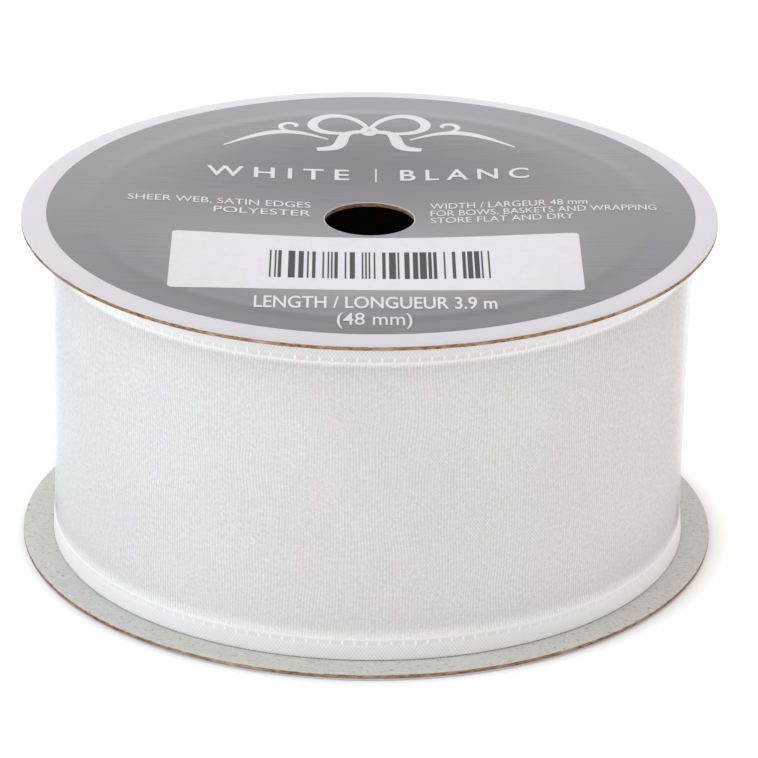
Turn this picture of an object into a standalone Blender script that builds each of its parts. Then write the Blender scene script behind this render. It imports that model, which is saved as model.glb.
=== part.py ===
"""A gift-ribbon spool: two board flanges glued to a paper tube, with sheer ribbon wound between them.

Metres, +Z up. The spool stands on its lower flange, with its axis on Z and its underside at Z = 0.
The ribbon winds outwards anticlockwise, seen from above. Its free end lies against the roll at the
back (+Y), under a tape tab, and lifts off the roll about an upright line at its root.
"""

import math

import bmesh
import bpy
from mathutils import Vector

# Flanges: die-cut greyboard discs, each with a paper sheet glued on its outer face
UPPER_FLANGE_RADIUS = 0.0508
LOWER_FLANGE_RADIUS = 0.0513
BOARD_THICKNESS = 0.0006
PAPER_THICKNESS = 0.00012
ROD_HOLE_RADIUS = 0.0066
SPOOL_HEIGHT = 0.0507
# The upper flange has sagged into the core's hollow, as a plate clamped along the tube's inner wall
DISH_DEPTH = 0.0014
DISH_STEPS = 8

# Core: a spirally wound paper tube, held to each board by a bead of glue round its inside
CORE_OUTER_RADIUS = 0.0410
CORE_WALL = 0.0016
GLUE_BEAD_LEG = 0.0022

# Ribbon: a sheer woven web between two satin edges, wound into a roll
RIBBON_WIDTH = 0.0483
SATIN_EDGE_WIDTH = 0.0033
ROLL_INNER_RADIUS = 0.0413
ROLL_OUTER_RADIUS = 0.0468

# Free end: the last stretch of the ribbon, lying on the roll, and the tape tab that holds it down
TAIL_ROOT_ANGLE = math.radians(70)
TAIL_ARC = math.radians(52)
TAIL_THICKNESS = 0.0004
TAPE_ARC = math.radians(13)
TAPE_PAST_END = math.radians(6)
TAPE_WIDTH = 0.0190
TAPE_THICKNESS = 0.00015

# Gaps between solids: a glue film between flat sheets, and clearance between other neighbours
GLUE_FILM = 0.00005
GAP = 0.0003

# Fineness of the round shapes
TURN_STEPS = 96
TAIL_STEPS = 16
TAPE_STEPS = 6
MERGE_DISTANCE = 0.00001
SHARP_ABOVE = math.radians(35)

# Heights of the flat faces and of the ribbon's edges, from the underside up
LOWER_BOARD_BOTTOM = PAPER_THICKNESS + GLUE_FILM
LOWER_BOARD_TOP = LOWER_BOARD_BOTTOM + BOARD_THICKNESS
UPPER_BOARD_TOP = SPOOL_HEIGHT - PAPER_THICKNESS - GLUE_FILM
UPPER_BOARD_BOTTOM = UPPER_BOARD_TOP - BOARD_THICKNESS
RIBBON_MIDDLE = (LOWER_BOARD_TOP + UPPER_BOARD_BOTTOM) / 2
RIBBON_BOTTOM = RIBBON_MIDDLE - RIBBON_WIDTH / 2
RIBBON_TOP = RIBBON_MIDDLE + RIBBON_WIDTH / 2
TAIL_RADIUS = ROLL_OUTER_RADIUS + GAP


def clear_scene():
    for old in list(bpy.data.objects):
        bpy.data.objects.remove(old, do_unlink=True)


def new_collection(name):
    collection = bpy.data.collections.new(name)
    bpy.context.scene.collection.children.link(collection)
    return collection


def principled(name, color, roughness, alpha=1.0):
    """A material of one colour; nothing on the spool is metal."""
    material = bpy.data.materials.new(name)
    material.use_nodes = True
    shader = material.node_tree.nodes["Principled BSDF"]
    shader.inputs["Base Color"].default_value = (*color, 1.0)
    shader.inputs["Roughness"].default_value = roughness
    shader.inputs["Metallic"].default_value = 0.0
    shader.inputs["Alpha"].default_value = alpha
    return material


def profile_object(name, points, closed, material, collection):
    """Edges joining (radius, height) points in the XZ plane, for a Screw modifier to turn."""
    shape = bmesh.new()
    corners = [shape.verts.new((radius, 0.0, height)) for radius, height in points]
    for first, second in zip(corners, corners[1:]):
        shape.edges.new((first, second))
    if closed:
        shape.edges.new((corners[-1], corners[0]))
    mesh = bpy.data.meshes.new(name)
    shape.to_mesh(mesh)
    shape.free()
    mesh.materials.append(material)
    obj = bpy.data.objects.new(name, mesh)
    collection.objects.link(obj)
    return obj


def add_screw(obj, angle, steps, merge):
    screw = obj.modifiers.new("turn", "SCREW")
    screw.axis = "Z"
    screw.angle = angle
    screw.steps = steps
    screw.render_steps = steps
    screw.use_merge_vertices = merge
    screw.merge_threshold = MERGE_DISTANCE


def apply_and_smooth(obj):
    """Makes the modifiers' result the mesh, then shades walls round and keeps corners crisp."""
    graph = bpy.context.evaluated_depsgraph_get()
    profile = obj.data
    obj.data = bpy.data.meshes.new_from_object(obj.evaluated_get(graph))
    obj.data.name = obj.name
    obj.modifiers.clear()
    bpy.data.meshes.remove(profile)
    obj.data.shade_smooth()
    obj.data.set_sharp_from_angle(angle=SHARP_ABOVE)


def turned(name, points, material, collection):
    """A closed profile, listed down its outer side first, turned through a full circle."""
    obj = profile_object(name, points, True, material, collection)
    add_screw(obj, math.tau, TURN_STEPS, merge=True)
    apply_and_smooth(obj)
    return obj


def ring(name, outer, inner, bottom, top, material, collection):
    """A washer or a tube between two radii and two heights."""
    points = [(outer, top), (outer, bottom), (inner, bottom), (inner, top)]
    return turned(name, points, material, collection)


def sag(radius):
    """How far the upper flange lies below its rim at a radius: depth x (1 - (radius / edge)^2)^2."""
    edge = CORE_OUTER_RADIUS - CORE_WALL
    return DISH_DEPTH * max(0.0, 1.0 - (radius / edge) ** 2) ** 2


def dished_ring(name, bottom, top, material, collection):
    """An upper-flange disc with its rod hole, flat outside the core and sagging inside it."""
    edge = CORE_OUTER_RADIUS - CORE_WALL
    step = (edge - ROD_HOLE_RADIUS) / DISH_STEPS
    radii = [UPPER_FLANGE_RADIUS] + [edge - step * i for i in range(DISH_STEPS + 1)]
    underside = [(radius, bottom - sag(radius)) for radius in radii]
    outside = [(radius, top - sag(radius)) for radius in reversed(radii)]
    return turned(name, outside[-1:] + underside + outside[:-1], material, collection)


def curved_strip(name, radius, start, arc, bottom, top, thickness, steps, material, collection):
    """A strip bent round the axis from one angle to another, its thickness outside the radius."""
    obj = profile_object(name, [(radius, top), (radius, bottom)], False, material, collection)
    obj.rotation_euler.z = start
    add_screw(obj, arc, steps, merge=False)
    wall = obj.modifiers.new("thickness", "SOLIDIFY")
    wall.thickness = thickness
    wall.offset = 1.0
    apply_and_smooth(obj)
    return obj


def ribbon_bands(prefix):
    """Name, bottom and top of the ribbon's three woven bands, with a gap at each seam."""
    lower_seam = RIBBON_BOTTOM + SATIN_EDGE_WIDTH
    upper_seam = RIBBON_TOP - SATIN_EDGE_WIDTH
    return [
        (prefix + "_lower_satin_edge", RIBBON_BOTTOM, lower_seam - GAP / 2),
        (prefix + "_sheer_web", lower_seam + GAP / 2, upper_seam - GAP / 2),
        (prefix + "_upper_satin_edge", upper_seam + GAP / 2, RIBBON_TOP),
    ]


def build_flanges(spool, board, label, liner):
    ring("lower_liner_sheet", LOWER_FLANGE_RADIUS, ROD_HOLE_RADIUS, 0.0, PAPER_THICKNESS, liner, spool)
    ring(
        "lower_flange_board",
        LOWER_FLANGE_RADIUS,
        ROD_HOLE_RADIUS,
        LOWER_BOARD_BOTTOM,
        LOWER_BOARD_TOP,
        board,
        spool,
    )
    dished_ring("upper_flange_board", UPPER_BOARD_BOTTOM, UPPER_BOARD_TOP, board, spool)
    dished_ring("upper_label_sheet", SPOOL_HEIGHT - PAPER_THICKNESS, SPOOL_HEIGHT, label, spool)


def build_core(spool, tube_paper, glue):
    bottom = LOWER_BOARD_TOP + GLUE_FILM
    top = UPPER_BOARD_BOTTOM - GLUE_FILM
    inner = CORE_OUTER_RADIUS - CORE_WALL
    ring("core_tube", CORE_OUTER_RADIUS, inner, bottom, top, tube_paper, spool)
    bead_outer = inner - GLUE_FILM
    bead_inner = bead_outer - GLUE_BEAD_LEG
    lower_bead = [(bead_outer, bottom + GLUE_BEAD_LEG), (bead_outer, bottom), (bead_inner, bottom)]
    upper_bead = [(bead_outer, top), (bead_outer, top - GLUE_BEAD_LEG), (bead_inner, top)]
    turned("lower_glue_bead", lower_bead, glue, spool)
    turned("upper_glue_bead", upper_bead, glue, spool)


def build_roll(spool, sheer, satin):
    for name, bottom, top in ribbon_bands("roll"):
        cloth = sheer if name.endswith("web") else satin
        ring(name, ROLL_OUTER_RADIUS, ROLL_INNER_RADIUS, bottom, top, cloth, spool)


def build_tail(spool, sheer, satin, tape):
    """The free end and its tape tab, carried by an empty on the line that they lift about."""
    hinge = bpy.data.objects.new("tail_hinge", None)
    spool.objects.link(hinge)
    hinge.location = Vector((math.cos(TAIL_ROOT_ANGLE), math.sin(TAIL_ROOT_ANGLE), 0.0)) * TAIL_RADIUS
    pieces = []
    for name, bottom, top in ribbon_bands("tail"):
        cloth = sheer if name.endswith("web") else satin
        pieces.append(
            curved_strip(
                name,
                TAIL_RADIUS,
                TAIL_ROOT_ANGLE,
                TAIL_ARC,
                bottom,
                top,
                TAIL_THICKNESS,
                TAIL_STEPS,
                cloth,
                spool,
            )
        )
    tape_start = TAIL_ROOT_ANGLE + TAIL_ARC + TAPE_PAST_END - TAPE_ARC
    pieces.append(
        curved_strip(
            "end_tape",
            TAIL_RADIUS + TAIL_THICKNESS + GAP,
            tape_start,
            TAPE_ARC,
            RIBBON_MIDDLE - TAPE_WIDTH / 2,
            RIBBON_MIDDLE + TAPE_WIDTH / 2,
            TAPE_THICKNESS,
            TAPE_STEPS,
            tape,
            spool,
        )
    )
    for piece in pieces:
        piece.parent = hinge
        piece.location -= hinge.location


def build_spool():
    spool = new_collection("ribbon_spool")
    board = principled("greyboard", (0.50, 0.48, 0.44), 0.9)
    label = principled("printed_label", (0.30, 0.29, 0.30), 0.5)
    liner = principled("white_liner", (0.72, 0.71, 0.70), 0.7)
    tube_paper = principled("core_board", (0.42, 0.33, 0.24), 0.9)
    glue = principled("dried_glue", (0.75, 0.70, 0.58), 0.3)
    sheer = principled("sheer_organza", (0.74, 0.71, 0.71), 0.55)
    satin = principled("satin_edge", (0.80, 0.78, 0.78), 0.35)
    tape = principled("clear_tape", (0.85, 0.85, 0.85), 0.2, alpha=0.4)
    build_flanges(spool, board, label, liner)
    build_core(spool, tube_paper, glue)
    build_roll(spool, sheer, satin)
    build_tail(spool, sheer, satin, tape)


clear_scene()
build_spool()
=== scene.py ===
"""The looks of a 4 inch spool of sheer white ribbon: two board flanges on a paper core, a printed label,
fourteen turns of organza ribbon with satin edges, and the free end under a tape tab at the back."""

import math

import bpy
import numpy as np
from mathutils import Matrix, Quaternion, Vector


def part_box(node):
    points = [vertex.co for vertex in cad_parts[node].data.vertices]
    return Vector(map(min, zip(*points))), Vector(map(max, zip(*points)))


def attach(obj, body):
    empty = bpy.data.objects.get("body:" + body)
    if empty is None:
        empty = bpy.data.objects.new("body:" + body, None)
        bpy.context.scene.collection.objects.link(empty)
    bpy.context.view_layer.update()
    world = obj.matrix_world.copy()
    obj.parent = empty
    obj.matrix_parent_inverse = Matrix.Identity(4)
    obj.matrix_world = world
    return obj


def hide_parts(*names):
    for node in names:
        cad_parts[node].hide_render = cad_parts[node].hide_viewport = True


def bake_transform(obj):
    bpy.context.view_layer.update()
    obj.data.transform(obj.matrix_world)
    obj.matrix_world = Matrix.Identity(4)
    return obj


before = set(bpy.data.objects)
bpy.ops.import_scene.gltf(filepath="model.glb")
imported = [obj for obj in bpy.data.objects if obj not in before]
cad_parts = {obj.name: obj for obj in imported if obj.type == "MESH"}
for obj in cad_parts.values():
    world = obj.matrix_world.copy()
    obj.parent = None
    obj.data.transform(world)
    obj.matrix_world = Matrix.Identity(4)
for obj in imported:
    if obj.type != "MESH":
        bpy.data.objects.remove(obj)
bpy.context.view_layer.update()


# Camera: a long lens from the front, a little above the spool, aimed at the middle of its height.
# The small pan, tilt and roll are those of a hand-set tripod head.
scene = bpy.context.scene
label_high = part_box("upper_label_sheet")[1]
board_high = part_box("lower_flange_board")[1]
flange_radius = label_high[0]
aim = Vector((0, 0, (label_high[2] + board_high[2]) / 2))
CAMERA_DISTANCE = 14 * flange_radius
CAMERA_ELEVATION = math.radians(23.25)
CAMERA_LENS, SENSOR_WIDTH = 228.1, 36
PAN, TILT, ROLL = -0.0023, -0.0024, -0.0104

outward = Vector((0, -math.cos(CAMERA_ELEVATION), math.sin(CAMERA_ELEVATION)))
across = Vector((1, 0, 0))
upward = across.cross(-outward)
head = Quaternion(-outward, ROLL) @ Quaternion(across, TILT) @ Quaternion(upward, PAN)
camera_data = bpy.data.cameras.new("camera")
camera_data.lens = CAMERA_LENS
camera_data.sensor_width = SENSOR_WIDTH
camera = bpy.data.objects.new("camera", camera_data)
camera.location = aim + outward * CAMERA_DISTANCE
camera.rotation_mode = "QUATERNION"
camera.rotation_quaternion = head @ Matrix((across, upward, outward)).transposed().to_quaternion()
scene.collection.objects.link(camera)
scene.camera = camera


# Flange boards: two discs die-cut from recycled greyboard half a millimetre thick, each with a hole for a
# display rod. The upper one has sagged into the hollow core. The knife leaves a brown, fibrous cut edge.
MM = 0.001
TURN = 2 * math.pi
DISH_DEPTH = 1.4 * MM
DISH_RADIUS = 39.4 * MM
ROD_HOLE_RADIUS = 6.6 * MM
BOARD = 0.50 * MM
BOARD_EASING = 0.05 * MM
GLUE_FILM = 0.02 * MM
RIM_WEAR = 0.03 * MM
RIM_WAVES, RIM_WAVE_COUNTS = 14, (20, 330)
FLANGE_STEPS, RUN_STEPS, CORNER_STEPS = 720, 46, 4
SHARP_ABOVE = math.radians(40)
UPRIGHT_BELOW = 0.75
BOARD_GREYS = (0.500, 0.500, 0.475), (0.620, 0.622, 0.595)
FIBRE_BROWN = (0.30, 0.275, 0.245)
SPECK_BROWN = (0.36, 0.325, 0.285)
CUT_BROWNS = (0.115, 0.050, 0.022), (0.39, 0.230, 0.130)
CUT_PALE = (0.47, 0.36, 0.27)


def sag(radius):
    """Depth of the upper flange's dish: depth * (1 - (radius / dish radius)^2)^2, and none outside it."""
    share = np.clip(1 - (np.asarray(radius) / DISH_RADIUS) ** 2, 0, None)
    return DISH_DEPTH * share**2


def round_z(radius, angle, height):
    """Points at that radius, angle and height round Z, on one grid: (r cos angle, r sin angle, height)."""
    return np.stack(np.broadcast_arrays(radius * np.cos(angle), radius * np.sin(angle), height), axis=-1)


def skin(name, grid, materials, ring=False, loop=False, caps=False, uv=None):
    """A piece whose four-sided faces join each point of grid[along, across] to its neighbours.
    ring joins the last row to the first, loop the last column to the first, and caps closes both ends.
    uv gives each point its place on the cloth, in millimetres."""
    rows, columns = grid.shape[:2]
    index = np.arange(rows * columns).reshape(rows, columns)
    ends = [index[0, ::-1].tolist(), index[-1].tolist()] if caps else []
    if ring:
        index = np.vstack([index, index[:1]])
    if loop:
        index = np.hstack([index, index[:, :1]])
    corners = [index[:-1, :-1], index[1:, :-1], index[1:, 1:], index[:-1, 1:]]
    faces = np.stack(corners, axis=-1).reshape(-1, 4).tolist() + ends
    mesh = bpy.data.meshes.new(name)
    mesh.from_pydata(grid.reshape(-1, 3), [], faces)
    if uv is not None:
        corner_points = np.zeros(len(mesh.loops), int)
        mesh.loops.foreach_get("vertex_index", corner_points)
        layer = mesh.uv_layers.new(name="cloth")
        layer.data.foreach_set("uv", uv.reshape(-1, 2)[corner_points].ravel())
    for material in materials:
        mesh.materials.append(material)
    mesh.shade_smooth()
    mesh.set_sharp_from_angle(angle=SHARP_ABOVE)
    piece = bpy.data.objects.new(name, mesh)
    scene.collection.objects.link(piece)
    return piece


def turned(name, outline, materials, rim_wear=0.0, seed=1):
    """A ring swept once round Z by a closed outline[point] = (radius, height), run anticlockwise.
    rim_wear roughens its upright rim: a seeded sum of waves round it, each a fifth of that many metres."""
    angle = np.linspace(0, TURN, FLANGE_STEPS, endpoint=False)[:, None]
    radius = np.broadcast_to(outline[:, 0], (FLANGE_STEPS, len(outline))).copy()
    if rim_wear:
        draw = np.random.default_rng(seed)
        rim = np.abs(outline[:, 0] - outline[:, 0].max()) < 3 * BOARD_EASING
        for count in draw.integers(*RIM_WAVE_COUNTS, RIM_WAVES):
            phase = draw.uniform(0, TURN, (1, len(outline)))
            radius += rim * rim_wear * np.sin(count * angle + phase) / 5
    return skin(name, round_z(radius, angle, outline[:, 1]), materials, ring=True, loop=True)


def plate_outline(hole, rim, bottom, top, easing, dished):
    """A flat ring's outline with eased corners; a dished one follows the sag at each radius."""
    run = np.linspace(hole + easing, rim - easing, RUN_STEPS)[1:-1]
    quarter = np.linspace(0, np.pi / 2, CORNER_STEPS)
    parts = []
    for start, centre_r, centre_z in (
        (-np.pi / 2, rim - easing, bottom + easing),
        (0, rim - easing, top - easing),
        (np.pi / 2, hole + easing, top - easing),
        (np.pi, hole + easing, bottom + easing),
    ):
        turn = start + quarter
        parts.append(np.stack([centre_r + easing * np.cos(turn), centre_z + easing * np.sin(turn)], axis=1))
    upper_run = np.stack([run[::-1], np.full(len(run), top)], axis=1)
    lower_run = np.stack([run, np.full(len(run), bottom)], axis=1)
    outline = np.vstack([parts[0], parts[1], upper_run, parts[2], parts[3], lower_run])
    if dished:
        outline[:, 1] -= sag(outline[:, 0])
    return outline


def use_cut_edge(piece):
    """Gives the second material to the faces that stand upright, where the knife cut."""
    mesh = piece.data
    normals = np.zeros(len(mesh.polygons) * 3)
    mesh.polygons.foreach_get("normal", normals)
    upright = np.abs(normals.reshape(-1, 3)[:, 2]) < UPRIGHT_BELOW
    mesh.polygons.foreach_set("material_index", upright.astype(np.int32))
    mesh.update()


def put(tree, kind, inputs=None, **settings):
    """A new node with those settings; inputs gives its sockets a value or another node's output."""
    made = tree.nodes.new(kind)
    for key, value in settings.items():
        setattr(made, key, value)
    for key, value in (inputs or {}).items():
        if isinstance(value, bpy.types.NodeSocket):
            tree.links.new(value, made.inputs[key])
        else:
            made.inputs[key].default_value = value
    return made


def calc(tree, operation, first, second=0.0, third=0.0):
    """The output of a Math node."""
    inputs = {0: first, 1: second, 2: third}
    return put(tree, "ShaderNodeMath", inputs, operation=operation).outputs[0]


def blend_colour(tree, factor, first, second):
    """The output of a Mix node on colours; plain colours are (red, green, blue)."""
    values = [(*c, 1) if isinstance(c, tuple) else c for c in (first, second)]
    return put(tree, "ShaderNodeMix", {0: factor, 6: values[0], 7: values[1]}, data_type="RGBA").outputs[2]


def steps_between(tree, value, low, high):
    """0 below low, 1 above high and straight between, as one Map Range node."""
    return put(tree, "ShaderNodeMapRange", {0: value, 1: low, 2: high}).outputs[0]


def object_place(tree):
    """Where a spot lies in its piece's own coordinates, in metres."""
    return put(tree, "ShaderNodeTexCoord").outputs["Object"]


def squeezed(tree, vector, scale):
    """The coordinates times a scale on each axis, which shortens a pattern along the larger ones."""
    return put(tree, "ShaderNodeMapping", {"Vector": vector, "Scale": scale}).outputs[0]


def noise(tree, vector, scale, detail=2.0, roughness=0.5):
    """The value of a Noise Texture node."""
    inputs = {"Vector": vector, "Scale": scale, "Detail": detail, "Roughness": roughness}
    return put(tree, "ShaderNodeTexNoise", inputs).outputs[0]


def new_material(name, roughness, specular=0.5):
    """A material holding a Principled BSDF; returns the material, its tree and the shader."""
    material = bpy.data.materials.new(name)
    material.use_nodes = True
    shader = material.node_tree.nodes["Principled BSDF"]
    shader.inputs["Roughness"].default_value = roughness
    shader.inputs["Specular IOR Level"].default_value = specular
    return material, material.node_tree, shader


def bump(tree, shader, height, distance, strength=1.0):
    """Feeds a height in 0..1 to the shader's normal, as relief that many metres deep."""
    inputs = {"Height": height, "Distance": distance, "Strength": strength}
    tree.links.new(put(tree, "ShaderNodeBump", inputs).outputs[0], shader.inputs["Normal"])


def new_group(name, inputs, outputs):
    """A shader group with named value inputs, a vector input and value outputs."""
    group = bpy.data.node_groups.new(name, "ShaderNodeTree")
    group.interface.new_socket("Vector", in_out="INPUT", socket_type="NodeSocketVector")
    for socket in inputs:
        group.interface.new_socket(socket, in_out="INPUT", socket_type="NodeSocketFloat")
    for socket in outputs:
        group.interface.new_socket(socket, in_out="OUTPUT", socket_type="NodeSocketFloat")
    return group, group.nodes.new("NodeGroupInput"), group.nodes.new("NodeGroupOutput")


# Pulp: cloudy mottling, and fibres lying three ways with a slight curl, as in any recycled paper
FIBRE_TURNS = (0.35, 1.3, 2.4)
FIBRE_CURL = 0.7 * MM
pulp_group, pulp_in, pulp_out = new_group("pulp", ["Cloud Size"], ["Cloud", "Fibre", "Height"])
pulp_place = pulp_in.outputs["Vector"]
cloud_scale = calc(pulp_group, "DIVIDE", 1.0, pulp_in.outputs["Cloud Size"])
cloud = noise(pulp_group, pulp_place, cloud_scale, 5.0, 0.62)
curl_inputs = {"Vector": pulp_place, "Scale": 700.0, "Detail": 1.0}
curl = put(pulp_group, "ShaderNodeTexNoise", curl_inputs).outputs["Color"]
curl = put(pulp_group, "ShaderNodeVectorMath", {0: curl, "Scale": FIBRE_CURL}, operation="SCALE").outputs[0]
curled = put(pulp_group, "ShaderNodeVectorMath", {0: pulp_place, 1: curl}, operation="ADD").outputs[0]
fibres = 0.0
for number, turn in enumerate(FIBRE_TURNS):
    mapping_inputs = {
        "Vector": curled,
        "Location": (number, 2 * number, 0),
        "Rotation": (0, 0, turn),
        "Scale": (650, 4200, 1800),
    }
    strand_place = put(pulp_group, "ShaderNodeMapping", mapping_inputs).outputs[0]
    strands = noise(pulp_group, strand_place, 1.0, 1.5)
    fibres = calc(pulp_group, "MAXIMUM", fibres, steps_between(pulp_group, strands, 0.62, 0.76))
grit = noise(pulp_group, pulp_place, 5200.0)
relief = calc(pulp_group, "MULTIPLY_ADD", grit, 0.6, fibres)
pulp_group.links.new(cloud, pulp_out.inputs["Cloud"])
pulp_group.links.new(fibres, pulp_out.inputs["Fibre"])
pulp_group.links.new(relief, pulp_out.inputs["Height"])


def pulp(tree, cloud_size):
    """The pulp group on the piece's own coordinates, with clouds that many metres across."""
    inputs = {"Vector": object_place(tree), "Cloud Size": cloud_size}
    return put(tree, "ShaderNodeGroup", inputs, node_tree=pulp_group).outputs


def clouded(tree, parts, dark, light):
    """A colour that drifts from dark to light with the pulp's clouds."""
    return blend_colour(tree, steps_between(tree, parts["Cloud"], 0.3, 0.7), dark, light)


greyboard, tree, shader = new_material("greyboard_face", 0.82, 0.25)
parts = pulp(tree, 0.45 * MM)
colour = clouded(tree, parts, *BOARD_GREYS)
colour = blend_colour(tree, calc(tree, "MULTIPLY", parts["Fibre"], 0.55), colour, FIBRE_BROWN)
specks = steps_between(tree, noise(tree, object_place(tree), 1500.0, 0.0), 0.72, 0.80)
colour = blend_colour(tree, specks, colour, SPECK_BROWN)
tree.links.new(colour, shader.inputs["Base Color"])
bump(tree, shader, parts["Height"], 0.03 * MM, 0.6)

cut_edge, tree, shader = new_material("board_cut_edge", 0.9, 0.15)
place = object_place(tree)
plies = noise(tree, squeezed(tree, place, (1100, 1100, 7500)), 1.0, 3.0)
patches = noise(tree, place, 260.0)
colour = blend_colour(tree, steps_between(tree, plies, 0.36, 0.62), *CUT_BROWNS)
colour = blend_colour(tree, steps_between(tree, patches, 0.5, 0.85), colour, CUT_PALE)
tree.links.new(colour, shader.inputs["Base Color"])
bump(tree, shader, plies, 0.06 * MM)

for node_name, piece_name, dished, radius in (
    ("lower_flange_board", "lower_board", False, board_high[0]),
    ("upper_flange_board", "upper_board", True, flange_radius),
):
    node_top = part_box(node_name)[1][2]
    bottom = node_top - BOARD - GLUE_FILM
    top = node_top + (GLUE_FILM if dished else 0)
    outline = plate_outline(ROD_HOLE_RADIUS, radius, bottom, top, BOARD_EASING, dished)
    board = turned(piece_name, outline, [greyboard, cut_edge], RIM_WEAR, seed=len(piece_name))
    use_cut_edge(board)
    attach(board, "spool")
    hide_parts(node_name)


# Paper sheets: a white liner glued under the lower board and the white label sheet on the upper one,
# both die-cut with their board. The label follows the dish, and the core's end shows as a faint ridge.
PAPER = label_high[2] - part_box("upper_flange_board")[1][2] - 2 * GLUE_FILM
PAPER_EASING = 0.03 * MM
PUNCHED_LIP = 0.02 * MM
RIDGE_RADIUS = 40.6 * MM
RIDGE_HEIGHT = 0.045 * MM
RIDGE_WIDTH = 1.0 * MM
PAPER_WHITES = (0.575, 0.570, 0.605), (0.610, 0.605, 0.640)

paper_white, tree, shader = new_material("coated_white_paper", 0.42, 0.45)
parts = pulp(tree, 6 * MM)
tree.links.new(clouded(tree, parts, *PAPER_WHITES), shader.inputs["Base Color"])
bump(tree, shader, parts["Cloud"], 0.03 * MM, 0.5)


def core_ridge(radius):
    """Height of the ridge over the core's end: height * exp(-((radius - ridge radius) / width)^2)."""
    return RIDGE_HEIGHT * np.exp(-(((radius - RIDGE_RADIUS) / RIDGE_WIDTH) ** 2))


def label_top(radius):
    """Height of the label's upper face: flat at the rim, less the sag, plus the ridge."""
    return label_high[2] - sag(radius) + core_ridge(radius)


label_hole = ROD_HOLE_RADIUS - PUNCHED_LIP
outline = plate_outline(label_hole, flange_radius, label_high[2] - PAPER, label_high[2], PAPER_EASING, True)
outline[:, 1] += core_ridge(outline[:, 0])
label = turned("label_sheet", outline, [paper_white])
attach(label, "spool")
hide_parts("upper_label_sheet")

liner_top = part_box("lower_liner_sheet")[1][2] + GLUE_FILM
outline = plate_outline(ROD_HOLE_RADIUS, board_high[0], 0, liner_top, PAPER_EASING, False)
liner = turned("liner_sheet", outline, [paper_white])
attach(liner, "spool")
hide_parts("lower_liner_sheet")


# Label print: a grey ground with a brushed look, printed a little off centre so that the white rim is wider
# at the front, and on it white line work, lettering and a panel with bars. Each ink lies flat on the sheet.
INK = 0.02 * MM
GROUND_RADIUS = 47.37 * MM
GROUND_CENTRE = (0.2 * MM, 0.8 * MM)
GROUND_HOLE_GAP = 0.1 * MM
GROUND_RINGS = 44
PRINT_TURN = 0.006
GROUND_GREYS = (0.078, 0.074, 0.083), (0.132, 0.127, 0.138)
GROUND_BAND = (0.112, 0.108, 0.118)
INK_WHITES = (0.620, 0.618, 0.662), (0.660, 0.658, 0.702)
BAR_GREYS = (0.032, 0.030, 0.032), (0.052, 0.050, 0.052)

ground_ink, tree, shader = new_material("brushed_grey_ink", 0.30, 0.5)
place = object_place(tree)
streaks = noise(tree, squeezed(tree, place, (110, 2700, 1)), 1.0, 4.0)
bands = noise(tree, squeezed(tree, place, (25, 160, 1)), 1.0)
colour = blend_colour(tree, steps_between(tree, streaks, 0.3, 0.7), *GROUND_GREYS)
colour = blend_colour(tree, steps_between(tree, bands, 0.35, 0.65), colour, GROUND_BAND)
tree.links.new(colour, shader.inputs["Base Color"])
bump(tree, shader, streaks, 0.012 * MM, 0.5)

white_ink, tree, shader = new_material("white_print", 0.45, 0.45)
parts = pulp(tree, 2 * MM)
tree.links.new(clouded(tree, parts, *INK_WHITES), shader.inputs["Base Color"])
bump(tree, shader, parts["Cloud"], 0.01 * MM, 0.5)

bar_ink, tree, shader = new_material("dark_grey_ink", 0.6, 0.2)
parts = pulp(tree, 0.5 * MM)
tree.links.new(blend_colour(tree, parts["Cloud"], *BAR_GREYS), shader.inputs["Base Color"])
bump(tree, shader, parts["Cloud"], 0.01 * MM, 0.4)


def lay_on_label(piece, lift):
    """Turns a print drawn flat at the origin by the label's turn and lays it on the label's surface."""
    mesh = piece.data
    points = np.zeros(len(mesh.vertices) * 3)
    mesh.vertices.foreach_get("co", points)
    points = points.reshape(-1, 3)
    x, y = points[:, 0].copy(), points[:, 1].copy()
    points[:, 0] = x * math.cos(PRINT_TURN) - y * math.sin(PRINT_TURN)
    points[:, 1] = x * math.sin(PRINT_TURN) + y * math.cos(PRINT_TURN)
    points[:, 2] += label_top(np.hypot(points[:, 0], points[:, 1])) + lift
    mesh.vertices.foreach_set("co", points.ravel())
    mesh.update()
    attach(piece, "spool")
    return piece


angle = np.linspace(0, TURN, FLANGE_STEPS, endpoint=False)[:, None]
share = np.concatenate([np.linspace(0, 1, GROUND_RINGS), np.linspace(1, 0, GROUND_RINGS)])
unit_circle = np.stack([np.cos(angle), np.sin(angle)], axis=-1)
hole_line = (ROD_HOLE_RADIUS + GROUND_HOLE_GAP) * unit_circle
rim_line = GROUND_RADIUS * unit_circle + np.array(GROUND_CENTRE)
flat = hole_line * (1 - share)[None, :, None] + rim_line * share[None, :, None]
level = np.repeat([-INK / 2, INK], GROUND_RINGS)[None, :, None]
grid = np.concatenate([flat, np.broadcast_to(level, (*flat.shape[:2], 1))], axis=-1)
lay_on_label(skin("label_grey_ground", grid, [ground_ink], ring=True, loop=True), 0)


def film(name, x, y, material, lift):
    """A thin closed film over a grid of flat points: its upper face, and its lower face run backwards."""
    upper = np.stack([x, y, np.full(x.shape, INK)], axis=-1)
    lower = np.stack([x, y, np.full(x.shape, -INK / 2)], axis=-1)[:, ::-1]
    grid = np.concatenate([upper, lower], axis=1)[::-1]
    return lay_on_label(skin(name, grid, [material], loop=True, caps=True), lift)


def joined(pieces, name):
    """Joins the pieces into the first of them, under that name."""
    with bpy.context.temp_override(active_object=pieces[0], selected_editable_objects=pieces):
        bpy.ops.object.join()
    pieces[0].name = name


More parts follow.
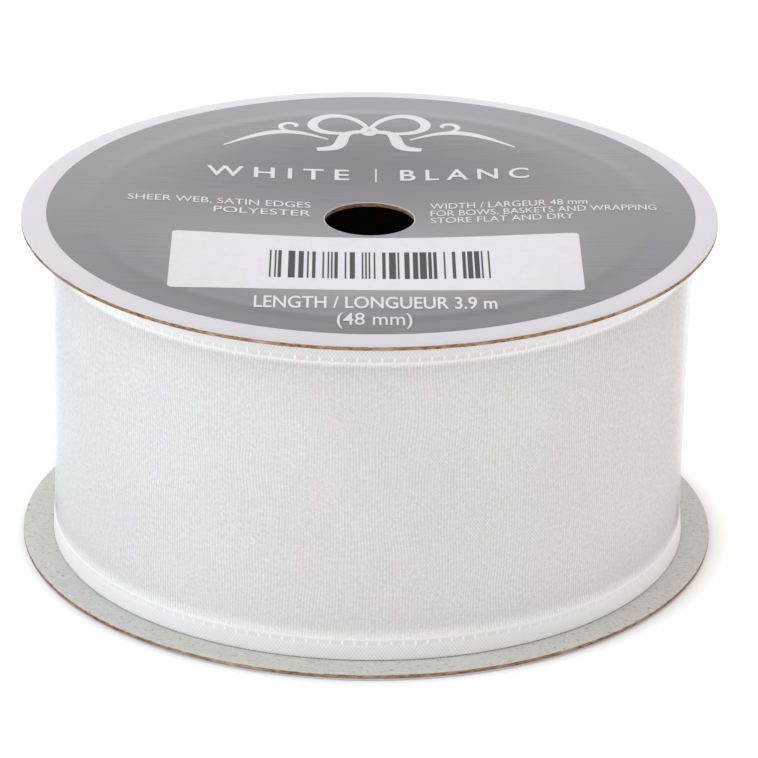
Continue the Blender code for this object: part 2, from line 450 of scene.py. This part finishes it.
# The panel: a rectangle with round corners, whose half width at each row follows the corner's circle.
PANEL_CENTRE = (0.85 * MM, -18.95 * MM)
PANEL_HALF = (29.35 * MM, 11.2 * MM)
PANEL_CORNER = 0.9 * MM
PANEL_ROWS, PANEL_COLUMNS = 41, 61
rows = PANEL_HALF[1] * np.sin(np.linspace(-np.pi / 2, np.pi / 2, PANEL_ROWS))
into_corner = np.clip(np.abs(rows) - (PANEL_HALF[1] - PANEL_CORNER), 0, PANEL_CORNER)
half_width = PANEL_HALF[0] - PANEL_CORNER + np.sqrt(PANEL_CORNER**2 - into_corner**2)
x = PANEL_CENTRE[0] + np.linspace(-1, 1, PANEL_COLUMNS)[:, None] * half_width[None, :]
y = np.broadcast_to(PANEL_CENTRE[1] + rows[None, :], x.shape)
film("label_white_panel", x.T, y.T, white_ink, INK)

# The bars: seeded widths of one to four modules, alternating with gaps, scaled to fill the span.
BAR_SPAN = (-14.3 * MM, 17.1 * MM)
BAR_HEIGHT = (-25.4 * MM, -13.95 * MM)
BAR_COUNT, BAR_ROWS, BAR_SEED = 32, 9, 32
MODULE_SHARES = [0.45, 0.28, 0.17, 0.10]
draw = np.random.default_rng(BAR_SEED)
modules = draw.choice([1, 2, 3, 4], size=2 * BAR_COUNT - 1, p=MODULE_SHARES).astype(float)
edges = np.concatenate([[0], np.cumsum(modules)]) / modules.sum()
edges = BAR_SPAN[0] + edges * (BAR_SPAN[1] - BAR_SPAN[0])
bars = []
for number in range(BAR_COUNT):
    sides = edges[2 * number : 2 * number + 2]
    y, x = np.meshgrid(np.linspace(*BAR_HEIGHT, BAR_ROWS), sides, indexing="ij")
    bars.append(film(f"bar_{number}", x, y, bar_ink, 2 * INK))
joined(bars, "label_bars")


# The lettering: left end, right end, baseline and height of the capitals in millimetres, then the spacing
# and the boldness of the letters. A thin divider stands between the two words of the title.
LETTER_STEPS = 6
DIVIDER_SIDES = (0.88 * MM, 1.1 * MM)
DIVIDER_ENDS = (14.2 * MM, 19.1 * MM)
TITLE_LINES = (
    ("label_colour_name", "WHITE", -24.3, -3.0, 14.75, 3.75, 1.5, 0.012),
    ("label_colour_name_second", "BLANC", 4.6, 23.8, 14.75, 3.75, 1.5, 0.012),
)
NOTE_LINES = (
    ("label_note_left", "SHEER WEB, SATIN EDGES", -35.5, -8.65, 3.9, 2.15, 1.0, 0.0),
    ("label_note_left_second", "POLYESTER", -22.8, -8.6, 0.6, 2.15, 1.0, 0.0),
    ("label_note_right", "WIDTH / LARGEUR 48 mm", 8.95, 32, 3.7, 2.15, 1.0, 0.0),
    ("label_note_right_second", "FOR BOWS, BASKETS AND WRAPPING", 8.95, 42, 0.9, 2.15, 1.0, 0.0),
    ("label_note_right_third", "STORE FLAT AND DRY", 8.95, 29.8, -1.9, 2.15, 1.0, 0.0),
    ("label_length", "LENGTH / LONGUEUR 3.9 m", -16.2, 17.7, -37.3, 4.3, 1.0, 0.012),
    ("label_length_second", "(48 mm)", -4.6, 5.8, -43.3, 4.1, 1.0, 0.004),
)


def letters(words, spacing, boldness):
    """A mesh of the words at a size of one unit and one unit thick, and an array of its points."""
    curve = bpy.data.curves.new("words", "FONT")
    curve.body = words
    curve.space_character = spacing
    curve.offset = boldness
    curve.resolution_u = LETTER_STEPS
    curve.extrude = 0.5
    holder = bpy.data.objects.new("words", curve)
    scene.collection.objects.link(holder)
    bpy.context.view_layer.update()
    evaluated = holder.evaluated_get(bpy.context.evaluated_depsgraph_get())
    mesh = bpy.data.meshes.new_from_object(evaluated)
    bpy.data.objects.remove(holder, do_unlink=True)
    points = np.zeros(len(mesh.vertices) * 3)
    mesh.vertices.foreach_get("co", points)
    return mesh, points.reshape(-1, 3)


def lettering(name, words, left, right, baseline, cap_height, spacing, boldness):
    """Words printed in white from left to right on a straight baseline; capitals are cap_height tall. These
    four are in millimetres."""
    left, right, baseline, cap_height = (size * MM for size in (left, right, baseline, cap_height))
    capital = letters("H", 1.0, 0.0)[1]
    mesh, points = letters(words, spacing, boldness)
    start, end = points[:, 0].min(), points[:, 0].max()
    points[:, 0] = left + (points[:, 0] - start) * (right - left) / (end - start)
    points[:, 1] = baseline + points[:, 1] * cap_height / capital[:, 1].max()
    points[:, 2] *= INK
    mesh.vertices.foreach_set("co", points.ravel())
    mesh.materials.clear()
    mesh.materials.append(white_ink)
    mesh.update()
    piece = bpy.data.objects.new(name, mesh)
    scene.collection.objects.link(piece)
    return lay_on_label(piece, 2.5 * INK)


for line in TITLE_LINES:
    lettering(*line)
x, y = np.meshgrid(DIVIDER_SIDES, np.linspace(*DIVIDER_ENDS, 5))
film("label_divider", x, y, white_ink, INK)
for line in NOTE_LINES:
    lettering(*line)


# Bow ornament: line work of a tied bow with flourishes, drawn as broad and thin strokes of white ink.
# Each side has a loop, a tail, a long flourish and a curl, and the knot lies over the middle.
BOW_LEVEL = 33.3 * MM
INK_SPREAD = 1.45
LOOP_REACH, LOOP_RISE, LOOP_TILT = 9.2 * MM, 4.4 * MM, math.radians(27)
CURL_CENTRE = (11.9 * MM, 1.75 * MM)
CURL_TURN = 1.65
KNOT_HALF, KNOT_HEIGHT = 1.35 * MM, 2.5 * MM


def stroke(name, x, y, width):
    """A flat stroke along the line (x, y): its sides lie half the spread width off, square to the line."""
    along_x, along_y = np.gradient(x), np.gradient(y)
    length = np.hypot(along_x, along_y)
    width = INK_SPREAD * width
    side_x, side_y = -along_y / length * width / 2, along_x / length * width / 2
    grid_x = np.stack([x + side_x, x - side_x], axis=1)
    grid_y = np.stack([y + side_y, y - side_y], axis=1)
    return film(name, grid_x, grid_y, white_ink, INK)


strokes_made = []
for side, word in ((-1, "left"), (1, "right")):
    # Loop: a drop shape, reach * (1 - cos t) / 2 long and rise * sin t * sin(t / 2)^0.8 wide, tilted up
    t = np.linspace(0, TURN, 90)
    reach = LOOP_REACH * (1 - np.cos(t)) / 2
    rise = LOOP_RISE * np.sin(t) * np.sin(t / 2) ** 0.8
    x = side * (reach * math.cos(LOOP_TILT) - rise * math.sin(LOOP_TILT))
    y = BOW_LEVEL + reach * math.sin(LOOP_TILT) + rise * math.cos(LOOP_TILT)
    width = (0.45 + 0.65 * np.sin(t / 2) ** 2) * MM
    strokes_made.append(stroke(f"loop_{word}", x, y, width))

    # Tail: a straight fall outwards with one sine wave across it
    t = np.linspace(0, 1, 60)
    x = side * (0.3 + 7.6 * t + 0.9 * np.sin(TURN * t)) * MM
    y = BOW_LEVEL - (7.2 * t - 0.9 * np.sin(TURN * t)) * MM
    width = (0.4 + 0.9 * np.sin(np.pi * t * 0.85)) * MM
    strokes_made.append(stroke(f"tail_{word}", x, y, width))

    # Flourish: level run outwards that rises on a sine and sinks with the cube of the run
    t = np.linspace(0, 1, 90)
    x = side * (6.2 + 15.8 * t) * MM
    y = BOW_LEVEL + (-3.4 + 2.9 * np.sin(1.15 * np.pi * t) - 1.7 * t**3) * MM
    width = (0.25 + 0.75 * np.sin(np.pi * t) ** 1.5) * MM
    strokes_made.append(stroke(f"flourish_{word}", x, y, width))

    # Curl: a spiral whose radius shrinks evenly with its turn
    t = np.linspace(0, CURL_TURN * np.pi, 60)
    curl = (2.0 - 0.27 * t) * MM
    x = side * (CURL_CENTRE[0] + curl * np.cos(t - 0.5 * np.pi))
    y = BOW_LEVEL + CURL_CENTRE[1] + curl * np.sin(t - 0.5 * np.pi)
    width = (0.3 + 0.35 * np.sin(t / CURL_TURN)) * MM
    strokes_made.append(stroke(f"curl_{word}", x, y, width))
t = np.linspace(-1, 1, 30)
knot_y = np.full(t.shape, BOW_LEVEL)
strokes_made.append(stroke("knot", KNOT_HALF * t, knot_y, KNOT_HEIGHT * np.sqrt(1.02 - t**2)))
joined(strokes_made, "label_bow_ornament")


# Core: a tube of spirally wound brown paper, standing between the boards in a bead of dried white glue.
# Its outer ply's edges meet in a seam that climbs one ply's rise a turn.
PLY_RISE = 60 * MM
SEAM = (0.15 * MM, 0.5 * MM)
SEAM_BROWN = (0.10, 0.065, 0.04)
PLY_BROWNS = (0.175, 0.120, 0.075), (0.235, 0.165, 0.105)
GLUE_CREAMS = (0.50, 0.47, 0.39), (0.68, 0.66, 0.58)

core_paper, tree, shader = new_material("spiral_wound_paper", 0.85, 0.2)
axes = put(tree, "ShaderNodeSeparateXYZ", {0: object_place(tree)}).outputs
around = calc(tree, "ARCTAN2", axes["Y"], axes["X"])
lead = calc(tree, "MULTIPLY_ADD", around, -PLY_RISE / TURN, axes["Z"])
seam = steps_between(tree, calc(tree, "PINGPONG", lead, PLY_RISE / 2), *SEAM)
colour = blend_colour(tree, seam, SEAM_BROWN, clouded(tree, pulp(tree, 3 * MM), *PLY_BROWNS))
tree.links.new(colour, shader.inputs["Base Color"])
bump(tree, shader, seam, 0.1 * MM, 0.7)

dried_glue, tree, shader = new_material("dried_white_glue", 0.35, 0.5)
parts = pulp(tree, 1.2 * MM)
tree.links.new(blend_colour(tree, parts["Cloud"], *GLUE_CREAMS), shader.inputs["Base Color"])
bump(tree, shader, parts["Cloud"], 0.2 * MM, 0.8)

for node_name, material in (
    ("core_tube", core_paper),
    ("lower_glue_bead", dried_glue),
    ("upper_glue_bead", dried_glue),
):
    mesh = bpy.data.objects[node_name].data
    mesh.materials.clear()
    mesh.materials.append(material)


# Ribbon: 3.9 m of 48 mm organza, wound outwards anticlockwise from the core. A satin band is woven into
# each edge and held by a row of catch stitches. Each turn's web is drawn in between its thicker edges.
low_band, low_band_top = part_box("roll_lower_satin_edge")
RIBBON_BOTTOM, RIBBON_TOP = low_band[2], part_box("roll_upper_satin_edge")[1][2]
BAND = low_band_top[2] - low_band[2]
BAND_THICKNESS = 0.28 * MM
ROOT_ANGLE = math.radians(70)
TAIL_ARC = math.radians(52)
COIL_END_RADIUS = low_band_top[0] + 0.15 * MM
COIL_START_RADIUS = 41.25 * MM
RIBBON_LENGTH = 3.93
TAIL_LENGTH = COIL_END_RADIUS * TAIL_ARC
TURNS = (RIBBON_LENGTH - TAIL_LENGTH) / (math.pi * (COIL_START_RADIUS + COIL_END_RADIUS))
PITCH = (COIL_END_RADIUS - COIL_START_RADIUS) / TURNS

# How the turns have slipped and slackened, and how far the web is drawn in
FOOT_GAP = 0.12 * MM
SLIPPED_DOWN = RIBBON_BOTTOM - board_high[2] - FOOT_GAP
HEAD_SLIP = 0.2
SETTLED_TURNS, SETTLING_TURNS = 0.75, 0.8
LOWER_FLARE, FLARE_FADE = 0.25 * MM, 5 * MM
SLACK_LEAN, SLACK_ANGLE, SLACK_SPREAD = 0.9 * MM, -0.1, 0.5
SLACK_TURNS = (1.0, 0.55, 0.25)
WEB_INSET, WEB_SINK, WEB_LAP = 0.08 * MM, 0.14 * MM, 0.1 * MM
WEB_WAVE, WEB_WAVE_UNIT, WEB_WAVE_SEED = 0.045 * MM, 70, 7
WEB_WAVELENGTHS = (71.0, 43.0, 29.0, 19.0, 11.0)

# The satin bands' weave and stitches: millimetres of cloth, and metres where the value says MM
STITCH_PITCH, STITCH_HALF, STITCH_RISE = 1.73, 0.15, 1.5
CHANNEL_TOP, CHANNEL_BOTTOM = 0.25, 0.82
CHANNEL_MIDDLE, CHANNEL_HALF, CHANNEL_DEPTH = 0.6, 0.33, 0.05
DIAMOND_ALONG, DIAMOND_ACROSS, DIAMOND_RELIEF = 0.54, 0.70, 0.022
DIAMONDS_START = 1.05
SCALLOP, SCALLOP_REACH = 0.06 * MM, 0.4
EDGE_ROUNDING, FREE_EDGE_ROUND, WEB_EDGE_ROUND = 0.07 * MM, 0.18, 0.12
INNER_FACE_SHARES = (0.98, 0.6, 0.3, 0.02)
WOVEN_FACE_ROWS = 20


def coil_radius(angle):
    """Radius of the ribbon's outer face: it grows by one pitch a turn, and reaches its end at the root."""
    return COIL_END_RADIUS + PITCH * (angle - ROOT_ANGLE) / TURN


def along_mm(angle):
    """Length of ribbon from the root to that angle, in millimetres: the spiral's radius, summed up."""
    turned_by = angle - ROOT_ANGLE
    return (COIL_END_RADIUS * turned_by + PITCH * turned_by**2 / (2 * TURN)) / MM


def turns_back(angle):
    """How many turns that angle lies behind the root."""
    return (ROOT_ANGLE - angle) / TURN


def drift(angle, share):
    """How far each turn has slipped along the core: the outer turn's foot rests on the lower flange and its
    head has slipped a fifth as far; the tighter ones inside stand up to 0.2 mm high, in slow waves. The two
    blend over the first turn and a half."""
    back = turns_back(angle)
    settle = np.clip((back - SETTLED_TURNS) / SETTLING_TURNS, 0, 1)
    waves = (0.12 + 0.05 * np.sin(1.7 * back) + 0.03 * np.sin(4.3 * back + 1)) * MM
    return settle * waves - (1 - settle) * SLIPPED_DOWN * (1 - (1 - HEAD_SLIP) * share)


def flare(angle, height):
    """The outer turn's lower edge stands out a little where it rests on the flange, and fades out 5 mm up.
    On the right the outer three turns are slack, each about half as much as the one over it. They lean
    out by lean * share^1.3 of the ribbon's height, in a bell curve round the spool."""
    near = np.clip(1 - (height - RIBBON_BOTTOM) / FLARE_FADE, 0, 1) ** 2
    share = np.clip((height - RIBBON_BOTTOM) / (RIBBON_TOP - RIBBON_BOTTOM), 0, 1)
    lean = 0.0
    for turn, part in enumerate(SLACK_TURNS):
        lean = lean + part * np.exp(-(((angle - SLACK_ANGLE + TURN * turn) / SLACK_SPREAD) ** 2))
    return LOWER_FLARE * near * np.clip(1.2 - turns_back(angle), 0, 1) + SLACK_LEAN * lean * share**1.3


def drawn_in(angle, share):
    """Depth of the web behind the edges: inset + (1 - (2 share - 1)^2) * (sink + slow seeded waves), of
    which the longer ones are the higher."""
    middle = 1 - (2 * share - 1) ** 2
    along = along_mm(angle)
    waves = 0.0
    draw = np.random.default_rng(WEB_WAVE_SEED)
    for wavelength in WEB_WAVELENGTHS:
        slant = draw.uniform(-1.2, 1.2)
        phase = draw.uniform(0, TURN)
        wave = np.sin(TURN * along / wavelength + slant * share * 3 + phase)
        waves = waves + wavelength / WEB_WAVE_UNIT * wave
    return WEB_INSET + middle * (WEB_SINK + WEB_WAVE * waves)


def web_piece(name, angle, rows, material):
    """The sheer web between the two bands, as one surface: grid of spiral angle and share of its height."""
    share = np.linspace(0, 1, rows)[None, :]
    angle = angle[:, None]
    low, high = RIBBON_BOTTOM + BAND - WEB_LAP, RIBBON_TOP - BAND + WEB_LAP
    unslipped = low + (high - low) * share
    height = unslipped + drift(angle, share)
    radius = coil_radius(angle) - drawn_in(angle, share) + flare(angle, height)
    uv = np.stack(np.broadcast_arrays(along_mm(angle), unslipped / MM), axis=-1)
    return skin(name, round_z(radius, angle, height), [material], uv=uv)


def band_relief(along, inward, woven):
    """Height of the satin band's face in metres, from the length along it and the distance from its outer
    edge, in millimetres: staggered cosine diamonds, and a sunk channel bridged by catch stitches."""
    from_margin = BAND / MM - inward
    channel = np.exp(-(((from_margin - CHANNEL_MIDDLE) / CHANNEL_HALF) ** 4))
    off_stitch = ((along / STITCH_PITCH) % 1 - 0.5) * STITCH_PITCH
    stitches = np.exp(-((off_stitch / STITCH_HALF) ** 2))
    relief = -CHANNEL_DEPTH * channel * (1 - STITCH_RISE * stitches)
    if woven:
        diamonds = np.cos(TURN * along / DIAMOND_ALONG) * np.cos(TURN * inward / DIAMOND_ACROSS)
        body = np.clip((from_margin - DIAMONDS_START) / 0.15, 0, 1) * np.clip(inward / 0.2, 0, 1)
        relief = relief + DIAMOND_RELIEF * body * diamonds
    return relief * MM


def band_piece(name, angle, upper, face_rows, material):
    """A satin band as a closed strip: its outline runs up the outer face and down the inner one. The free
    edge is scalloped where the weft turns back, once a diamond."""
    angle = angle[:, None]
    along = along_mm(angle)
    share = np.concatenate([np.linspace(0, 1, face_rows), INNER_FACE_SHARES])[None, :]
    is_face = np.arange(share.size)[None, :] < face_rows
    inward = (1 - share if upper else share) * BAND / MM
    free_edge = np.clip(inward / FREE_EDGE_ROUND, 0, 1)
    web_edge = np.clip((BAND / MM - inward) / WEB_EDGE_ROUND, 0, 1)
    rounding = EDGE_ROUNDING * (1 - np.sqrt(free_edge * web_edge))
    depth = np.where(is_face, rounding, BAND_THICKNESS - rounding)
    depth = depth - is_face * band_relief(along, inward, face_rows > WOVEN_FACE_ROWS)
    scallop = SCALLOP * np.cos(TURN * along / DIAMOND_ALONG) * np.clip(1 - inward / SCALLOP_REACH, 0, 1)
    low = RIBBON_TOP - BAND if upper else RIBBON_BOTTOM
    height = low + share * BAND + drift(angle, float(upper)) + (scallop if upper else -scallop)
    radius = coil_radius(angle) - depth + flare(angle, height)
    uv = np.stack(np.broadcast_arrays(along, inward), axis=-1)
    return skin(name, round_z(radius, angle, height), [material], loop=True, caps=True, uv=uv)


def cloth_place(tree):
    """A spot's place on the cloth in millimetres, as a vector and as its X and Y outputs."""
    cloth = put(tree, "ShaderNodeUVMap", uv_map="cloth").outputs[0]
    return cloth, put(tree, "ShaderNodeSeparateXYZ", {0: cloth}).outputs


def thread_wave(tree, angle):
    """0 between two threads and 1 on each: (1 + sin(angle)) / 2."""
    return calc(tree, "MULTIPLY_ADD", calc(tree, "SINE", angle), 0.5, 0.5)


# Organza: fine ribs along the cloth's width crossed by finer weft, more open in places. Alpha is the share
# of each spot that thread covers, and two turns seen through each other give the watered look.
RIB_PITCH, WEFT_PITCH, SLANT_PITCH = 0.44, 0.31, 0.62
OPEN_COVER, THREAD_COVER, SLUB_COVER, GRAIN_COVER, MARGIN_COVER = 0.17, 0.20, 0.10, 0.24, 0.42
LOWER_MARGIN, UPPER_MARGIN = 1.7, 0.7
THREAD_WHITES = (0.83, 0.812, 0.812), (0.875, 0.858, 0.858)
SHADE_WHITE = (0.77, 0.742, 0.742)
MARGIN_WHITE = (0.87, 0.862, 0.862)

organza, tree, shader = new_material("sheer_organza", 0.62, 0.3)
cloth, axes = cloth_place(tree)
wander = noise(tree, cloth, 0.055)
shifted = calc(tree, "MULTIPLY_ADD", wander, 2.6, axes["X"])
rib_angle = calc(tree, "MULTIPLY", shifted, TURN / RIB_PITCH)
ribs = thread_wave(tree, rib_angle)
shifted = calc(tree, "MULTIPLY_ADD", wander, 1.7, axes["Y"])
weft = thread_wave(tree, calc(tree, "MULTIPLY", shifted, TURN / WEFT_PITCH))
slant = calc(tree, "MULTIPLY", axes["Y"], TURN / SLANT_PITCH)
slanted = thread_wave(tree, calc(tree, "ADD", rib_angle, slant))
patchy = steps_between(tree, noise(tree, cloth, 0.12, 3.0), 0.42, 0.75)
patch_mix = put(tree, "ShaderNodeMix", {0: patchy, 2: ribs, 3: slanted}).outputs[0]
weave = calc(tree, "MULTIPLY_ADD", patch_mix, 0.8, calc(tree, "MULTIPLY", weft, 0.2))
slubs = noise(tree, squeezed(tree, cloth, (2.6, 0.16, 1)), 1.0)
grain = noise(tree, cloth, 1.9, 3.0, 0.7)
threads = calc(tree, "MULTIPLY", weave, calc(tree, "MULTIPLY", grain, 2.0))
web_bottom, web_top = (RIBBON_BOTTOM + BAND) / MM, (RIBBON_TOP - BAND) / MM
above_band = steps_between(tree, axes["Y"], web_bottom + LOWER_MARGIN, web_bottom)
below_band = steps_between(tree, axes["Y"], web_top - UPPER_MARGIN, web_top)
margin = calc(tree, "MAXIMUM", above_band, below_band)
cover = calc(tree, "MULTIPLY_ADD", threads, THREAD_COVER, OPEN_COVER)
cover = calc(tree, "MULTIPLY_ADD", slubs, SLUB_COVER, cover)
cover = calc(tree, "MULTIPLY_ADD", grain, GRAIN_COVER, cover)
cover = calc(tree, "MULTIPLY_ADD", calc(tree, "POWER", margin, 1.3), MARGIN_COVER, cover)
tree.links.new(cover, shader.inputs["Alpha"])
shade = steps_between(tree, noise(tree, cloth, 0.035, 1.0), 0.42, 0.62)
colour = blend_colour(tree, threads, *THREAD_WHITES)
colour = blend_colour(tree, calc(tree, "MULTIPLY", shade, 0.4), colour, SHADE_WHITE)
colour = blend_colour(tree, margin, colour, MARGIN_WHITE)
tree.links.new(colour, shader.inputs["Base Color"])
shader.inputs["Sheen Weight"].default_value = 0.25
bump(tree, shader, threads, 0.02 * MM, 0.2)

# Satin: long floats in staggered diamonds, with painted shade in the sunk stitch channel and the stitches
# bright.
# A painted sheen lightens the floats' colour where they are seen at a slant.
FLOAT_WHITES = (0.61, 0.602, 0.607), (0.77, 0.77, 0.77)
STITCH_WHITE = (0.84, 0.84, 0.84)
# Painted shade: the darker colour of the sunk stitch channel between the stitches
CHANNEL_SHADE = (0.65, 0.625, 0.632)
# Painted sheen: the white the floats' colour is lightened towards where they are seen at a slant
PAINTED_SHEEN_WHITE = (0.755, 0.755, 0.755)
CHANNEL_FADE = 0.12

satin, tree, shader = new_material("satin_edge", 0.38, 0.5)
cloth, axes = cloth_place(tree)
wave_along = calc(tree, "COSINE", calc(tree, "MULTIPLY", axes["X"], TURN / DIAMOND_ALONG))
wave_across = calc(tree, "COSINE", calc(tree, "MULTIPLY", axes["Y"], TURN / DIAMOND_ACROSS))
diamonds = calc(tree, "MULTIPLY_ADD", calc(tree, "MULTIPLY", wave_along, wave_across), 0.5, 0.5)
from_margin = calc(tree, "SUBTRACT", BAND / MM, axes["Y"])
above = steps_between(tree, from_margin, CHANNEL_TOP, CHANNEL_TOP + CHANNEL_FADE)
below = steps_between(tree, from_margin, CHANNEL_BOTTOM + CHANNEL_FADE, CHANNEL_BOTTOM)
row = calc(tree, "MULTIPLY", above, below)
stitch_phase = calc(tree, "FRACT", calc(tree, "DIVIDE", axes["X"], STITCH_PITCH))
off_stitch = calc(tree, "ABSOLUTE", calc(tree, "SUBTRACT", stitch_phase, 0.5))
between = steps_between(tree, off_stitch, 0.05, 0.10)
# Painted sheen: the colour is lightened by how slanted the view is, on top of the shader's own sheen
facing = put(tree, "ShaderNodeLayerWeight", {"Blend": 0.5}).outputs["Facing"]
painted_sheen = calc(tree, "MULTIPLY", steps_between(tree, facing, 0.10, 0.34), 0.62)
# The channel's darker colour between the stitches is painted shade in the recess
row_colour = blend_colour(tree, between, STITCH_WHITE, CHANNEL_SHADE)
colour = blend_colour(tree, row, blend_colour(tree, diamonds, *FLOAT_WHITES), row_colour)
colour = blend_colour(tree, painted_sheen, colour, PAINTED_SHEEN_WHITE)
tree.links.new(colour, shader.inputs["Base Color"])
shader.inputs["Sheen Weight"].default_value = 1.0
bump(tree, shader, diamonds, 0.02 * MM, 0.5)

# Each part of the roll: where it starts and ends in turns from the root, the web's and the bands' points
# along it, and the rows of points across the web and across a band's face.
ROLL_PARTS = (
    ("outer_turn", -1, 0, 600, 2250, 30, 34),
    ("second_turn", -2, -1, 400, 900, 24, 12),
    ("inner_turns", -TURNS, -2, 1500, 1500, 12, 6),
)
for name, first, last, web_columns, band_columns, web_rows, band_rows in ROLL_PARTS:
    start, end = ROOT_ANGLE + first * TURN, ROOT_ANGLE + last * TURN
    angles = np.linspace(start, end, band_columns)
    web = web_piece(f"{name}_sheer_web", np.linspace(start, end, web_columns), web_rows, organza)
    lower = band_piece(f"{name}_lower_satin", angles, False, band_rows, satin)
    upper = band_piece(f"{name}_upper_satin", angles, True, band_rows, satin)
    for piece, slot in ((web, "sheer_organza"), (lower, "satin_edge"), (upper, "satin_edge")):
        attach(piece, "ribbon_roll")
    length = float(along_mm(end) - along_mm(start)) * MM
    flat = (RIBBON_TOP - RIBBON_BOTTOM, length)
    if name == "outer_turn":
        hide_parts("roll_sheer_web")
        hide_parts("roll_lower_satin_edge")
        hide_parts("roll_upper_satin_edge")


# Free end: the last 43 mm of the ribbon at the back. It lies on the roll.
# Its bands have the outer turn's weave and stitches.
TAIL_COLUMNS, TAIL_WEB_ROWS, TAIL_BAND_ROWS = 330, 30, 34
tail_angles = np.linspace(ROOT_ANGLE, ROOT_ANGLE + TAIL_ARC, TAIL_COLUMNS)
tail_web = web_piece("tail_sheer_web_cloth", tail_angles[::3], TAIL_WEB_ROWS, organza)
tail_lower = band_piece("tail_lower_satin", tail_angles, False, TAIL_BAND_ROWS, satin)
tail_upper = band_piece("tail_upper_satin", tail_angles, True, TAIL_BAND_ROWS, satin)
for piece, slot, node_name in (
    (tail_web, "sheer_organza", "tail_sheer_web"),
    (tail_lower, "satin_edge", "tail_lower_satin_edge"),
    (tail_upper, "satin_edge", "tail_upper_satin_edge"),
):
    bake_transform(piece)
    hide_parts(node_name)


# Tape tab: clear film stuck over the free end and down onto the turn below, cut with a toothed blade.
# It follows the spiral on both sides of the free end, and steps down one turn by a logistic curve.
tape_low, tape_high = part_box("end_tape")
TAPE_BEFORE, TAPE_AFTER = math.radians(7), math.radians(6)
TAPE_FILM = 0.05 * MM
TAPE_COLUMNS, TAPE_ROWS = 90, 40
TAIL_LIFT, TURN_LIFT = 0.12 * MM, -0.02 * MM
STEP_SLOPE, STEP_LAG = 260, 0.012
TOOTH_DEPTH, TOOTH_COUNT, TOOTH_ZONE = 0.35 * MM, 19, 0.45
TAPE_TONES = (0.74, 0.74, 0.69), (0.80, 0.80, 0.76)

tape_film, tree, shader = new_material("clear_tape", 0.16, 0.5)
haze = noise(tree, object_place(tree), 700.0, 3.0)
tree.links.new(steps_between(tree, haze, -0.9, 4.6), shader.inputs["Alpha"])
tree.links.new(blend_colour(tree, haze, *TAPE_TONES), shader.inputs["Base Color"])
bump(tree, shader, haze, 0.02 * MM, 0.3)

end_angle = ROOT_ANGLE + TAIL_ARC
angle = np.linspace(end_angle - TAPE_BEFORE, end_angle + TAPE_AFTER, TAPE_COLUMNS)[:, None]
share = np.linspace(0, 1, TAPE_ROWS)
share = np.concatenate([share, share[::-1]])[None, :]
is_face = np.repeat([1.0, 0.0], TAPE_ROWS)[None, :]
step = 1 / (1 + np.exp(-(angle - end_angle - STEP_LAG) * STEP_SLOPE))
over_tail = coil_radius(angle) + TAIL_LIFT
over_turn = coil_radius(angle - TURN) + TURN_LIFT
radius = over_tail * (1 - step) + over_turn * step + is_face * TAPE_FILM
ends = (angle - angle.min()) / np.ptp(angle) - 0.5
teeth = TOOTH_DEPTH * np.abs(((share * TOOTH_COUNT) % 1) - 0.5) * 2
angle = angle + ends * 2 * teeth / COIL_END_RADIUS * (np.abs(ends) > TOOTH_ZONE)
height = tape_low[2] + (tape_high[2] - tape_low[2]) * share
tape = skin("tape_tab", round_z(radius, angle, height), [tape_film], loop=True, caps=True)
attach(tape, "ribbon_tail")
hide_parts("end_tape")


# Studio: a white table top that the light and a painted glow wash out, with a painted shadow round the
# spool's foot where the glow fades to none, soft light all round, a large cool softbox on the left, weaker
# ones on the right and high in front, and a low card close behind that lights the far label.
TABLE_HALF, TABLE_STEPS, TABLE_DROP = 3, 9, 0.15 * MM
# The painted glow rises from none just inside the lower board's rim to full a little outside it; the ring
# in between is painted shadow
GLOW_START, GLOW_END = 0.98 * board_high[0], 1.09 * board_high[0]
TABLE_WHITES = (0.88, 0.88, 0.88), (0.90, 0.90, 0.90)
# Painted light: the table's glow colours, none at the spool's foot and a cool white further out
TABLE_GLOWS = (0.0, 0.0, 0.0), (0.27, 0.30, 0.31)

floor_white, tree, shader = new_material("white_table", 0.9, 0.1)
place = object_place(tree)
tree.links.new(blend_colour(tree, noise(tree, place, 900.0), *TABLE_WHITES), shader.inputs["Base Color"])
# Painted glow and painted shadow: the table's emission grows with the distance from the spool's axis
far = put(tree, "ShaderNodeVectorMath", {0: place}, operation="LENGTH").outputs["Value"]
painted_glow = blend_colour(tree, steps_between(tree, far, GLOW_START, GLOW_END), *TABLE_GLOWS)
tree.links.new(painted_glow, shader.inputs["Emission Color"])
shader.inputs["Emission Strength"].default_value = 1.0
line = np.linspace(-TABLE_HALF, TABLE_HALF, TABLE_STEPS)
x, y = np.meshgrid(line, line, indexing="ij")
table_top = skin("table_top", np.stack([x, y, np.full(x.shape, -TABLE_DROP)], axis=-1), [floor_white])


def softbox(name, place, size, watts, tint):
    """A rectangular area light of that size, turned to face the spool."""
    data = bpy.data.lights.new(name, "AREA")
    data.shape = "RECTANGLE"
    data.size, data.size_y = size
    data.energy = watts
    data.color = tint
    light = bpy.data.objects.new(name, data)
    light.location = place
    light.rotation_euler = (aim - Vector(place)).to_track_quat("-Z", "Y").to_euler()
    light.visible_camera = False
    scene.collection.objects.link(light)


softbox("key_left", (-1.1, -0.4, 0.6), (0.9, 0.9), 6.6, (0.73, 0.90, 1.0))
softbox("fill_right", (1.1, -0.35, 0.4), (0.7, 0.7), 1.5, (1.0, 0.90, 0.94))
softbox("high_front", (-0.2, -1.0, 1.1), (1.1, 0.7), 3.4, (0.82, 0.96, 1.0))
softbox("card_behind", (0.0, 0.27, 0.10), (0.5, 0.1), 0.31, (0.83, 0.89, 1.0))
world = bpy.data.worlds.new("studio")
world.use_nodes = True
background = world.node_tree.nodes["Background"]
background.inputs["Color"].default_value = (1.0, 0.930, 0.886, 1)
background.inputs["Strength"].default_value = 0.84
scene.world = world
scene.view_settings.view_transform = "Standard"
